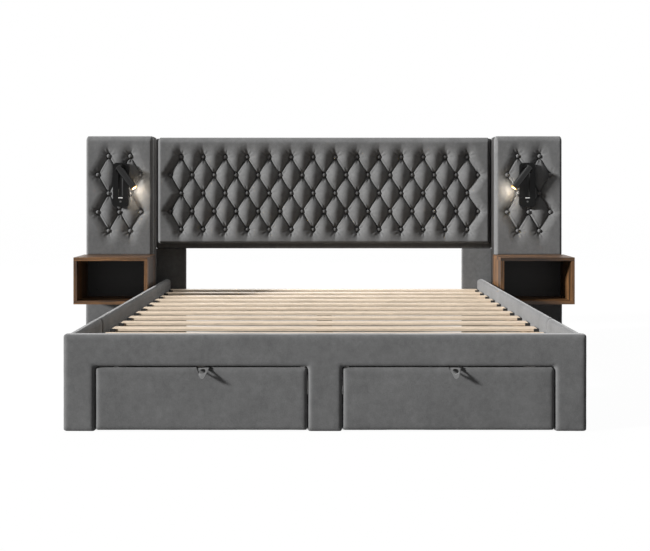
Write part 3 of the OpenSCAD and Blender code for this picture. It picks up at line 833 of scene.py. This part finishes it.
@dataclass
class TuftedPad:
    """A deep-buttoned pad: rows of covered buttons with folded pleats between them.

    Sizes are in metres. The buttons of every second row stand half a pitch aside.
    """

    pad: str
    buttons: str
    columns: int
    pitch: float
    tuft: float
    seed: float

    # The buttons' field, and how far the pleats run out beyond it.
    rows: int = 5
    row_pitch: float = 0.0915
    row_drop: float = 0.098
    fade: float = 0.085
    fade_side: float = 0.055

    # The outline and its rounded border.
    side_gap: float = 0.0
    border_side: float = 0.012
    border_top: float = 0.025
    border_bottom: float = 0.012
    rim: float = 0.45  # share of the pad's thickness that its edge has
    dome: float = 0.8  # how round the border is, from a slope at 0 to a quarter circle at 1

    # The mesh: as many cells in half a pitch as in a row, so that the pleats run along diagonals.
    steps: int = 16
    cell: float = 0.004  # width of the cells outside the buttons' field

    # The pillows between the pleats.
    swell: float = 0.007
    full_power: float = 1.6  # how full the curve across a pleat is
    ridge_share: float = 0.18  # how far a pleat rises between its buttons, towards a crown
    crown_power: float = 0.6  # how flat the pillows' tops are, flatter when smaller
    dents: float = 0.0010
    dent_scale: float = 13.0

    # The lap and the crease along each pleat.
    lap: float = 0.0026
    lap_place: float = 0.0065
    lap_width: float = 0.003
    crease: float = 0.0035
    crease_width: float = 0.0025

    # The puckers and the pit round each button.
    pucker: float = 0.07  # share of the tuft's depth
    pucker_place: float = 0.024
    pucker_width: float = 0.012
    pit: float = 0.0100
    pit_reach: tuple[float, float] = (0.0132, 0.0162)  # across and up

    # How the cloth is held and inflated.
    seam_share: float = 0.25  # how far up a pillow the seam's hold reaches
    border_hold: float = 0.25  # how firmly the cloth is held beside the buttons' field
    border_sewn: float = 0.02  # width along the outline where it is sewn down
    frames: int = 12
    most_swell: float = 0.003  # the furthest that a point may move

    # The covered button, and how far it stands out of its tuft.
    button: CoveredButton = CoveredButton()
    button_lift: float = 0.0070

    def edge_lines(self, low: float, high: float, first: float, last: float, count: int,
                   borders: tuple[float, float]) -> np.ndarray:
        """Returns grid lines: close at the rounded border, even over the buttons' field.

        Args:
            low: one outline.
            high: the other outline.
            first: where the even field starts.
            last: where it ends.
            count: the field's cells.
            borders: widths of the rounded border at the low and the high outline.

        Returns:
            The lines' places.
        """
        # Shares of the border's width, closer where the border turns steepest.
        rise = np.array([0.0, 0.015, 0.06, 0.14, 0.26, 0.42, 0.62, 0.82])
        start, end = low + borders[0], high - borders[1]
        below, above = (np.linspace(a, b, max(2, round((b - a) / self.cell)))
                        for a, b in ((start, first), (last, end)))
        return np.concatenate([low + rise * borders[0], below[:-1], np.linspace(first, last, count + 1),
                               above[1:], high - rise[::-1] * borders[1]])

    def field(self, x: np.ndarray, z: np.ndarray, top_row: float) -> tuple[np.ndarray, ...]:
        """Returns each place's share across the two families of pleats, and its fading.

        Args:
            x: places across, from the pad's middle.
            z: heights.
            top_row: height of the top row of buttons.

        Returns:
            Phases of the two families of pleats from 0 to 1, and the distance outside the
            buttons' field as a share of the folds' fading length.
        """
        u, v = x / self.pitch, (top_row - z) / self.row_pitch
        vc = np.clip(v, 0, self.rows - 1)
        reach = self.columns - 0.5 * np.abs(1 - vc % 2)
        uc = np.clip(u, -reach, reach)
        away = np.minimum(1, np.hypot((u - uc) * self.pitch / self.fade_side,
                                      (v - vc) * self.row_pitch / self.fade))
        return (uc + vc / 2 + 0.5) % 1.0, (uc - vc / 2 + 0.5) % 1.0, away

    def heights(self, x: np.ndarray, z: np.ndarray, top_row: float) -> tuple[np.ndarray, np.ndarray]:
        """Returns the pillows' height and how firmly each point is sewn.

        Args:
            x: places across, from the pad's middle.
            z: heights.
            top_row: height of the top row of buttons.

        Returns:
            Height from 0 in a tuft to 1 on a crown, and sewing from 0 to 1.
        """
        *phases, away = self.field(x, z, top_row)
        # Across each family of pleats, half a sine and half a fuller curve.
        pa, pb = (0.5 * np.abs(np.sin(np.pi * phase)) + 0.5 * (1 - np.abs(2 * phase - 1) ** self.full_power)
                  for phase in phases)
        ridge, crown = np.sqrt((pa * pa + pb * pb) / 2), (pa * pb) ** self.crown_power
        pillow = self.ridge_share * ridge + (1 - self.ridge_share) * crown
        height = 1 - (1 - pillow) * (1 - away) ** 2
        sewn = np.clip(1 - np.minimum(pa, pb) / self.seam_share, 0, 1) * (1 - away)
        return height, np.maximum(sewn, self.border_hold * away ** 2)

    def laps(self, x: np.ndarray, z: np.ndarray, top_row: float) -> np.ndarray:
        """Returns the lap on one side of each pleat and the crease in it.

        Args:
            x: places across, from the pad's middle.
            z: heights.
            top_row: height of the top row of buttons.

        Returns:
            Height to add, in metres.
        """
        *phases, away = self.field(x, z, top_row)
        span = self.pitch * self.row_pitch / math.hypot(self.pitch / 2, self.row_pitch)
        total = np.zeros_like(x)
        for phase in phases:
            distance = np.minimum(phase, 1 - phase) * span
            lap = np.where(phase < 0.5, self.lap, 0.0) * bell(distance - self.lap_place, self.lap_width)
            total += np.where(away == 0, lap - self.crease * bell(distance, self.crease_width), 0.0)
        return total

    def puckers(self, x: np.ndarray, z: np.ndarray, top_row: float) -> np.ndarray:
        """Returns the puckers round each button and the pit that it is drawn into.

        Args:
            x: places across, from the pad's middle.
            z: heights.
            top_row: height of the top row of buttons.

        Returns:
            Height to add, in metres.
        """
        u, v = x / self.pitch, (top_row - z) / self.row_pitch
        row = np.clip(np.round(v), 0, self.rows - 1)
        offset = np.where(row % 2 == 0, 0.5, 0.0)
        limit = self.columns - offset
        column = np.clip(np.round(u - offset) + offset, -limit, limit)
        dx, dz = (u - column) * self.pitch, (row - v) * self.row_pitch
        angle = np.arctan2(dz, dx)
        # Nine puckers and fourteen finer ones, turned from button to button.
        wobble = np.sin(9 * angle + 3 * column + 5 * row + self.seed)
        wobble += 0.6 * np.sin(14 * angle + column * row)
        ring = bell(np.hypot(dx, dz) - self.pucker_place, self.pucker_width)
        pit = bell((dx / self.pit_reach[0]) ** 2 + (dz / self.pit_reach[1]) ** 2, 1.0)
        return self.pucker * self.tuft * wobble * ring - self.pit * pit

    def rounded(self, x: np.ndarray, z: np.ndarray, xs: np.ndarray,
                zs: np.ndarray) -> tuple[np.ndarray, np.ndarray, np.ndarray]:
        """Rounds the border's corners.

        Args:
            x: places across.
            z: heights.
            xs: the grid's upright lines.
            zs: its level lines.

        Returns:
            New places across, new heights, and each point's share of the way in from the
            outline, up to 1 at the inner edge of the border.
        """
        left, low_half = x < (xs[0] + xs[-1]) / 2, z < (zs[0] + zs[-1]) / 2
        border_z = np.where(low_half, self.border_bottom, self.border_top)
        p = 1 - np.clip(np.where(left, x - xs[0], xs[-1] - x) / self.border_side, 0, 1)
        q = 1 - np.clip(np.where(low_half, z - zs[0], zs[-1] - z) / border_z, 0, 1)
        p_round, q_round = p * np.sqrt(1 - q * q / 2), q * np.sqrt(1 - p * p / 2)
        shift_x, shift_z = (p - p_round) * self.border_side, (q - q_round) * border_z
        inward = 1 - np.minimum(1, np.hypot(p_round, q_round))
        return x + np.where(left, shift_x, -shift_x), z + np.where(low_half, shift_z, -shift_z), inward

    def surface(self) -> Piece:
        """Shapes the pad's face and weights it for sewing.

        Returns:
            The face, without sides or back.
        """
        low, high = corners(self.pad)
        low[0], high[0] = low[0] + self.side_gap, high[0] - self.side_gap
        middle, top_row = (low[0] + high[0]) / 2, high[2] - self.row_drop
        half, depth = self.columns * self.pitch, (self.rows - 1) * self.row_pitch
        xs = self.edge_lines(low[0] - middle, high[0] - middle, -half, half, 4 * self.columns * self.steps,
                             (self.border_side, self.border_side))
        zs = self.edge_lines(low[2], high[2], top_row - depth, top_row, (self.rows - 1) * self.steps,
                             (self.border_bottom, self.border_top))
        piece, x, z = grid_on(xs, zs)
        edge = np.minimum.reduce([x - xs[0], xs[-1] - x, z - zs[0], zs[-1] - z])
        x, z, inward = self.rounded(x, z, xs, zs)
        bow = self.dome * np.sqrt(1 - (1 - inward) ** 2) + (1 - self.dome) * inward
        rise = self.rim + (1 - self.rim) * bow
        height, sewn = self.heights(x, z, top_row)
        y = high[1] - (high[1] - low[1]) * rise + self.tuft * (1 - height) * inward
        relief = self.laps(x, z, top_row) + self.puckers(x, z, top_row) + self.swell * height
        co = np.stack([x + middle, np.minimum(y - relief * inward, high[1]), z], axis=1)
        co[:, 1] += self.dents * ripple(co, self.dent_scale, self.seed) * inward
        move_points(piece, co)
        group = piece.vertex_groups.new(name="sewn")
        firm = np.maximum(sewn, 1 - np.clip(edge / self.border_sewn, 0, 1))
        for index, weight in enumerate(firm):
            group.add([index], float(weight), "REPLACE")
        self.split(piece, middle, top_row)
        return piece

    def split(self, piece: Piece, middle: float, top_row: float) -> None:
        """Splits the quads along the pleats that cross them, so that each pleat is one clean line.

        Args:
            piece: the pad's face.
            middle: the pad's middle, across.
            top_row: height of the top row of buttons.
        """
        centres = rows_of(piece.data.polygons, "center")
        first, second, _ = self.field(centres[:, 0] - middle, centres[:, 2], top_row)
        choose_faces(piece, np.minimum(first, 1 - first) < np.minimum(second, 1 - second))
        bpy.ops.mesh.quads_convert_to_tris(quad_method="FIXED")
        with editing(piece):
            bpy.ops.mesh.quads_convert_to_tris(quad_method="FIXED_ALTERNATE")

    def inflate(self, piece: Piece) -> None:
        """Lets the cloth swell between its seams with a short simulation.

        Args:
            piece: the pad's face.
        """
        before = points(piece)
        use(piece)
        cloth = piece.modifiers.new("cloth", "CLOTH")
        settings = cloth.settings
        settings.quality, settings.mass = 4, 0.3
        settings.tension_stiffness = settings.compression_stiffness = 12
        settings.bending_stiffness, settings.pin_stiffness = 6, 1
        settings.use_pressure, settings.uniform_pressure_force = True, 4
        settings.vertex_group_mass = "sewn"
        settings.effector_weights.gravity = 0
        cloth.collision_settings.use_collision = False
        cloth.point_cache.frame_start, cloth.point_cache.frame_end = 1, self.frames
        for number in range(1, self.frames + 1):
            bpy.context.scene.frame_set(number)
        bpy.ops.object.modifier_apply(modifier="cloth")
        bpy.context.scene.frame_set(1)
        step = points(piece) - before
        size = np.linalg.norm(step, axis=1, keepdims=True)
        move_points(piece, before + step * np.minimum(1, self.most_swell / np.maximum(size, 1e-9)))

    def close(self, piece: Piece) -> None:
        """Gives the pad its sides and flat back.

        Args:
            piece: the pad's face.
        """
        back = corners(self.pad)[1][1]
        with editing(piece, "EDGE"):
            bpy.ops.mesh.region_to_loop()
            bpy.ops.mesh.extrude_edges_move()
            bpy.ops.transform.resize(value=(1, 0, 1), center_override=(0, back, 0))
            bpy.ops.mesh.edge_face_add()
        face_outwards(piece)

    def sew_buttons(self, cloth: Material) -> None:
        """Copies the covered button to every tuft and joins the copies.

        Args:
            cloth: their cover.
        """
        low, high = corners(self.pad)
        middle, top_row = (low[0] + high[0]) / 2, high[2] - self.row_drop
        depth = low[1] + self.tuft - self.button_lift
        knob, knobs = self.button.model(), []
        for row in range(self.rows):
            reach = self.columns - 0.5 * (1 - row % 2)
            for step in range(int(2 * reach) + 1):
                twin = add_object("button", knob.data.copy())
                twin.location = (middle + (step - reach) * self.pitch, depth, top_row - row * self.row_pitch)
                knobs.append(twin)
        bpy.data.objects.remove(knob)
        clear_selection()
        for twin in knobs:
            twin.select_set(True)
        bpy.context.view_layer.objects.active = knobs[0]
        bpy.ops.object.transform_apply(location=True, rotation=False, scale=False)
        bpy.ops.object.join()
        piece = bpy.context.object
        face_outwards(piece)
        settle(piece, f"{self.buttons}_covered", "bed", cloth, self.buttons)

    def build(self, cloth: Material) -> None:
        """Builds and places the pad and its buttons.

        Args:
            cloth: the cover.
        """
        piece = self.surface()
        self.inflate(piece)
        self.close(piece)
        settle(piece, f"{self.pad}_tufted", "bed", cloth, self.pad)
        self.sew_buttons(cloth)


# ---------------------------------------------------------------- the bed

FRAME_BOARD = Wood("frame_board", dyed(120, 98, 76), dyed(158, 134, 106), 22, 0.7)
WALNUT = Wood("walnut", dyed(42, 27, 15), dyed(124, 87, 52), 30, 0.45, 0.9)


def made(finish: Velvet | Lining | Wood | Metal | Plastic | Glow) -> Material:
    """Returns a palette entry that makes the finish's material when the palette is laid out."""
    return field(default_factory=finish.material)


@dataclass
class Palette:
    """The bed's finishes, one material each."""

    velvet: Material = made(Velvet())
    lining: Material = made(Lining())
    slat: Material = made(Wood("slat_birch", dyed(211, 191, 167), dyed(227, 208, 185), 14, 0.6, 0.3))
    board: Material = made(FRAME_BOARD)
    rail: Material = made(replace(FRAME_BOARD, grain=Grain.ALONG))
    # Painted shade: the drawer boxes are near black for the shade seen through the gaps and between the slats.
    drawer_wood: Material = made(Wood("drawer_shade_board", dyed(30, 28, 27), dyed(46, 43, 41), 22, 0.6, 0.4,
                                      Grain.ALONG))
    walnut: Material = made(WALNUT)
    walnut_side: Material = made(replace(WALNUT, grain=Grain.UPRIGHT))
    # Near-black board: the nightstands' backs, and painted shade on the drawer bays' back and partitions.
    dark_board: Material = made(Wood("dark_board", dyed(16, 15, 15), dyed(26, 24, 23), 30, 0.6))
    black_steel: Material = made(Metal("black_steel", tone(0.07), 0.0, 0.5, specular=0.3))
    zinc: Material = made(Metal("zinc_steel", tone(0.72), 1.0, 0.35, brushed=0.4))
    chrome: Material = made(Metal("polished_metal", tone(0.5), 1.0, 0.2))
    gloss_black: Material = made(Metal("lamp_black", tone(0.045), 0.0, 0.3, specular=0.14))
    tube_black: Material = made(Metal("tube_black", tone(0.03), 0.0, 0.22, specular=0.36))
    gold: Material = made(Metal("gold_trim", dyed(228, 178, 92), 1.0, 0.4))
    black_plastic: Material = made(Plastic("black_plastic", tone(0.13), 0.5))
    # White port insert, partly its own colour and partly a painted highlight along the top of the lamp's base.
    white_port_and_highlight: Material = made(Plastic("white_port_and_highlight", tone(0.9), 0.35))
    grey_plastic: Material = made(Plastic("grey_plastic", tone(0.3), 0.45))
    lens: Material = made(Glow("lit_lens", dyed(255, 222, 170), 7.0))


@dataclass
class BedBase:
    """Footboard, rails, slats, beam and brackets."""

    palette: Palette
    drawer_gap: float = 0.0018
    top_slot: float = 0.0037
    rail_mesh: float = 0.006
    rail_passes: int = 12
    rail_tail: float = 0.042

    def build(self) -> None:
        """Builds the padded boards and dresses the base's nodes."""
        p = self.palette
        self.footboard()
        for side in SIDES:
            WrappedPanel(f"bay_side_{side}", self.rail_mesh, self.rail_passes).build(p.velvet)
            WrappedPanel(f"side_rail_{side}", self.rail_mesh, self.rail_passes,
                         tail=self.rail_tail).build(p.velvet)
        # Painted shade: the bays' back and partitions are near black where shade falls inside the bays under
        # the slats.
        dress(p.dark_board, "bay_back", "bay_partitions")
        dress(p.board, "head_cross_rail")
        dress(p.rail, *(f"ledger_{side}" for side in SIDES))
        dress(p.slat, "slats")
        dress(p.black_plastic, "slat_holders", "beam_feet")
        dress(p.black_steel, "centre_beam", "beam_legs", "nightstand_bolts")
        dress(p.zinc, "slide_channels", "corner_brackets")

    def footboard(self) -> None:
        """Cuts the footboard with its three legs from the drawers' openings."""
        low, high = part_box("footboard")
        first, second = sorted((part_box(f"drawer_front_{side}") for side in SIDES), key=lambda box: box[0][0])
        gap = self.drawer_gap
        xs = (low[0], first[0][0] - gap, first[1][0] + gap, second[0][0] - gap, second[1][0] + gap, high[0])
        zs = (low[2], first[1][2] + self.top_slot, high[2])
        WrappedSlab("footboard", xs, zs, ((1, 0), (3, 0))).build(self.palette.velvet)


@dataclass
class Headboard:
    """Tufted centre, its board and legs, and the two wings."""

    palette: Palette
    board_mesh: float = 0.006

    def build(self) -> None:
        """Builds the tufted pads and the wrapped boards."""
        p = self.palette
        WrappedPanel("headboard_board", self.board_mesh).build(p.velvet)
        WrappedPanel("headboard_legs").build(p.velvet)
        dress(p.lining, *(f"wing_cover_{side}" for side in SIDES))
        TuftedPad("headboard_pad", "headboard_buttons", columns=7, pitch=0.111, tuft=0.022, seed=1.7,
                  side_gap=0.004, border_side=0.013).build(p.velvet)
        for seed, side in zip((4.1, 5.1), SIDES):
            WrappedPanel(f"wing_box_{side}", self.board_mesh).build(p.velvet)
            TuftedPad(f"wing_pad_{side}", f"wing_buttons_{side}", columns=1, pitch=0.106, tuft=0.015,
                      seed=seed, swell=0.003, pit=0.009).build(p.velvet)


@dataclass
class Nightstand:
    """A floating open box on one wing."""

    palette: Palette
    side: str

    def build(self) -> None:
        """Dresses the box's boards."""
        p = self.palette
        dress(p.walnut, f"nightstand_top_{self.side}", f"nightstand_bottom_{self.side}")
        dress(p.walnut_side, f"nightstand_sides_{self.side}")
        dress(p.dark_board, f"nightstand_back_{self.side}")


@dataclass
class ReadingLamp:
    """A swivelling lamp on a base plate."""

    palette: Palette
    side: str
    power: float = 0.45
    warm: Colour = (1.0, 0.92, 0.80)
    bulb: float = 0.008  # radius of the light
    ahead: float = 0.012  # from the lens to the light's middle

    def build(self) -> None:
        """Dresses the lamp's pieces and lights it."""
        p, side = self.palette, self.side
        dress(p.gloss_black, f"lamp_base_{side}", f"lamp_yoke_{side}")
        dress(p.tube_black, f"lamp_tube_{side}")
        dress(p.gold, f"lamp_ring_{side}")
        dress(p.lens, f"lamp_lens_{side}")
        # Painted highlight: the port is white to give the bright line along the top of the base.
        dress(p.white_port_and_highlight, f"lamp_port_{side}")
        dress(p.grey_plastic, f"lamp_switch_{side}")
        # The ring and the tube throw no bright specks of the lens on the cloth.
        for part in ("ring", "tube"):
            frame["nodes"][f"lamp_{part}_{side}"].visible_diffuse = False
        self.shine()

    def shine(self) -> None:
        """Adds the warm light that leaves the lens and turns with the lamp's head."""
        lens, tube = (Vector(sum(corners(f"lamp_{part}_{self.side}")) / 2) for part in ("lens", "tube"))
        name = f"reading_light_{self.side}"
        light = bpy.data.lights.new(name, "POINT")
        light.energy, light.color, light.shadow_soft_size = self.power, self.warm, self.bulb
        lamp = add_object(name, light)
        head = bpy.data.objects[f"body:lamp_head_{self.side}"]
        lamp.parent = head
        lamp.matrix_parent_inverse = head.matrix_world.inverted()
        lamp.location = lens + (lens - tube).normalized() * self.ahead


@dataclass
class Drawer:
    """A footboard drawer with its padded front and bent pull."""

    palette: Palette
    side: str
    pull_edge: float = 0.0005
    pull_sharp: float = 50.0  # degrees from which an edge of the pull is eased
    pull_smooth: float = 35.0

    def build(self) -> None:
        """Builds the front and the pull and dresses the box."""
        p, body, front = self.palette, f"drawer_{self.side}", f"drawer_front_{self.side}"
        low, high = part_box(front)
        WrappedSlab(front, (low[0], high[0]), (low[2], high[2]), body=body).build(p.velvet)
        # The boxes take the near-black painted shade.
        dress(p.drawer_wood, f"drawer_box_{self.side}", f"drawer_bottom_{self.side}")
        pull = copy_of(f"drawer_pulls_{self.side}")
        apply_modifier(pull, "BEVEL", width=self.pull_edge, segments=2, limit_method="ANGLE",
                       angle_limit=math.radians(self.pull_sharp))
        settle(pull, f"bent_pulls_{self.side}", body, p.chrome,
               f"drawer_pulls_{self.side}", self.pull_smooth)


# ---------------------------------------------------------------- the studio

def facing(direction: Vector) -> Euler:
    """Returns the turn that points a light along a direction."""
    return direction.to_track_quat("-Z", "Y").to_euler()


@dataclass(frozen=True)
class Softbox:
    """A square light."""

    name: str
    place: Place
    aim: Place
    size: float
    power: float

    def hang(self) -> Piece:
        """Adds the light.

        Returns:
            The light.
        """
        light = bpy.data.lights.new(self.name, "AREA")
        light.shape, light.size, light.energy = "SQUARE", self.size, self.power
        lamp = add_object(self.name, light)
        lamp.location = self.place
        lamp.rotation_euler = facing(Vector(self.aim) - Vector(self.place))
        return lamp


@dataclass(frozen=True)
class KeyLight:
    """The key light from the left front."""

    direction: Place = (0.91, 0.33, -0.28)
    strength: float = 7.7
    spread: float = 7.0  # degrees across

    def shine(self, name: str) -> Piece:
        """Adds the light.

        Args:
            name: its name.

        Returns:
            The light.
        """
        sun = bpy.data.lights.new(name, "SUN")
        sun.energy, sun.angle = self.strength, math.radians(self.spread)
        lamp = add_object(name, sun)
        lamp.rotation_euler = facing(Vector(self.direction))
        return lamp


@dataclass
class Studio:
    """Floor, lights and camera."""

    # The camera.
    lens: float = 58.98
    sensor: float = 36.0
    distance: float = 3.274  # in front of the footboard
    aside: float = -0.0079
    eye: float = 0.7438
    shift: tuple[float, float] = (0.0040, -0.1317)
    sight: float = 200.0  # how far the camera sees

    # The lights.
    key: KeyLight = KeyLight()
    overhead: Softbox = Softbox("overhead", (-0.5, 0.9, 3.6), (-0.5, 0.9, 0.2), 3.4, 70.0)
    behind: Softbox = Softbox("behind", (-0.4, 5.6, 2.4), (-0.1, 1.0, 0.5), 3.0, 120.0)
    surroundings: tuple[float, float] = (0.05, 1.0)  # strength as a light and as a background

    # The floor, and where it shows the bed's shadow.
    floor_size: float = 60.0
    floor_level: float = -0.0005
    white: float = 1.06
    white_share: float = 0.92  # the rest keeps the faint shadow round the bed
    inset: float = 0.03  # the shadow's edge lies this far inside the bed's outline
    blur: tuple[float, float] = (0.03, 0.01)  # the edge's softness inwards and outwards
    contact: float = 0.85  # how far behind the headboard the shadow reaches
    contact_fade: float = 0.6  # share of that reach with the full shadow
    contact_corner: float = 4.0  # how square its outline is, from 2 for an ellipse
    contact_start: float = 0.07  # how far in front of the headboard's rear it starts

    def floor(self) -> None:
        """Adds a plain pale floor that keeps the object's shadow and is clear from below."""
        clear_selection()
        bpy.ops.mesh.primitive_grid_add(x_subdivisions=8, y_subdivisions=8, size=self.floor_size,
                                        location=(0, 0, self.floor_level))
        piece = bpy.context.object
        piece.name = "floor"
        bpy.ops.object.transform_apply(location=True)
        g = Graph("pale_floor")
        g.shade(Base_Color=tone(0.6), Roughness=0.9, Specular_IOR_Level=0.1)
        white = g.add("ShaderNodeEmission", {"Color": (*WHITE, 1.0), "Strength": self.white})
        seen = g.calc("MULTIPLY", g.background_rays(), self.beyond_bed(g))
        top = g.add("ShaderNodeMixShader", {"Fac": seen, 1: g.shader.outputs[0], 2: white.outputs[0]})
        below = g.add("ShaderNodeNewGeometry").outputs["Backfacing"]
        clear = g.add("ShaderNodeBsdfTransparent").outputs[0]
        sided = g.add("ShaderNodeMixShader", {"Fac": below, 1: top.outputs[0], 2: clear})
        g.links.new(sided.outputs[0], g.nodes["Material Output"].inputs["Surface"])
        piece.data.materials.append(g.material)

    def beyond_bed(self, g: Graph) -> Socket:
        """Works out where the floor is white and where it shows the bed's shadow.

        Args:
            g: the floor's node tree.

        Returns:
            The share of white: none under the bed and close behind it.
        """
        low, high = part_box("footboard")
        half, start, end = high[0] - self.inset, low[1] + self.inset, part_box("headboard_legs")[1][1]
        inward, outward = self.blur
        axes = g.add("ShaderNodeSeparateXYZ", {0: g.coords}).outputs
        aside, along = g.calc("ABSOLUTE", axes["X"]), axes["Y"]
        past = g.calc("MAXIMUM", g.calc("SUBTRACT", along, end), 0.0)
        power = self.contact_corner
        reach = g.calc("ADD", *(g.calc("POWER", g.calc("DIVIDE", value, size), power)
                                  for value, size in ((aside, half), (past, self.contact))))
        behind = g.calc("MAXIMUM", g.share(g.calc("POWER", reach, 1 / power), self.contact_fade, 1.0),
                          g.share(along, end - inward, end - self.contact_start))
        ends = g.calc("MAXIMUM", g.share(along, start + inward, start - outward),
                        g.share(along, end - inward, end + outward))
        under = g.calc("MAXIMUM", g.share(aside, half - inward, half + outward), ends)
        return g.level(g.calc("MINIMUM", under, behind), 0.0, self.white_share)

    def link(self, lamp: Piece, name: str, names: tuple[str, ...], role: str, state: str) -> None:
        """Chooses the pieces that a light reaches or that shade it.

        Args:
            lamp: the light.
            name: the collection's name.
            names: the pieces.
            role: receiver or blocker.
            state: INCLUDE or EXCLUDE.
        """
        group = bpy.data.collections.new(name)
        setattr(lamp.light_linking, f"{role}_collection", group)
        for piece in names:
            group.objects.link(frame["nodes"].get(piece) or bpy.data.objects[piece])
        for entry in group.collection_objects:
            entry.light_linking.link_state = state

    def lights(self) -> None:
        """Adds the key lights, two softboxes and the surroundings.

        The pad between the wings and the slats have a key light each, which the wing and the
        rail beside them don't shade. The key light leaves out the right wing's box, and the
        softbox overhead the left one's, because their inner sides are dark.
        """
        centre = ("headboard_pad_tufted", "headboard_buttons_covered")
        slats = ("slats", "slat_holders")
        wing = ("wing_box_left_wrap", "wing_pad_left_tufted", "wing_buttons_left_covered")
        lamp = tuple(f"lamp_{part}_left" for part in ("base", "yoke", "tube", "ring", "lens"))
        rails = ("bay_side_left_wrap", "side_rail_left_wrap")
        self.link(self.key.shine("key"), "key_lights", centre + slats + ("wing_box_right_wrap",),
                  "receiver", "EXCLUDE")
        for name, lit, passed in (("key_on_pad", centre, wing + lamp), ("key_on_slats", slats, rails)):
            key = self.key.shine(name)
            self.link(key, f"{name}_lights", lit, "receiver", "INCLUDE")
            self.link(key, f"{name}_passes", passed, "blocker", "EXCLUDE")
        self.link(self.overhead.hang(), "overhead_lights", wing[:1], "receiver", "EXCLUDE")
        self.behind.hang()
        world = bpy.data.worlds.new("surroundings")
        bpy.context.scene.world = world
        sky = Tree(world)
        background = sky.nodes["Background"]
        background.inputs["Color"].default_value = (*WHITE, 1.0)
        strength = sky.level(sky.background_rays(), *self.surroundings)
        sky.links.new(strength, background.inputs["Strength"])

    def camera(self) -> None:
        """Places the camera level, low and in front of the foot end."""
        data = bpy.data.cameras.new("camera")
        data.lens, data.sensor_width, data.clip_end = self.lens, self.sensor, self.sight
        data.shift_x, data.shift_y = self.shift
        eye = add_object("camera", data)
        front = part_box("footboard")[0][1]
        eye.location = (self.aside, front - self.distance, self.eye)
        eye.rotation_euler = (math.radians(90), 0, 0)
        bpy.context.scene.camera = eye

    def build(self) -> None:
        """Builds the floor and the lights round the finished bed."""
        self.floor()
        self.lights()
        bpy.context.scene.view_settings.view_transform = "Standard"


def main() -> None:
    """Builds the bed in order."""
    logging.basicConfig(level=logging.INFO, format="%(name)s: %(message)s")
    studio = Studio()
    studio.camera()
    palette = Palette()
    BedBase(palette).build()
    Headboard(palette).build()
    for side in SIDES:
        Nightstand(palette, side).build()
        ReadingLamp(palette, side).build()
        Drawer(palette, side).build()
    studio.build()


if __name__ == "__main__":
    main()
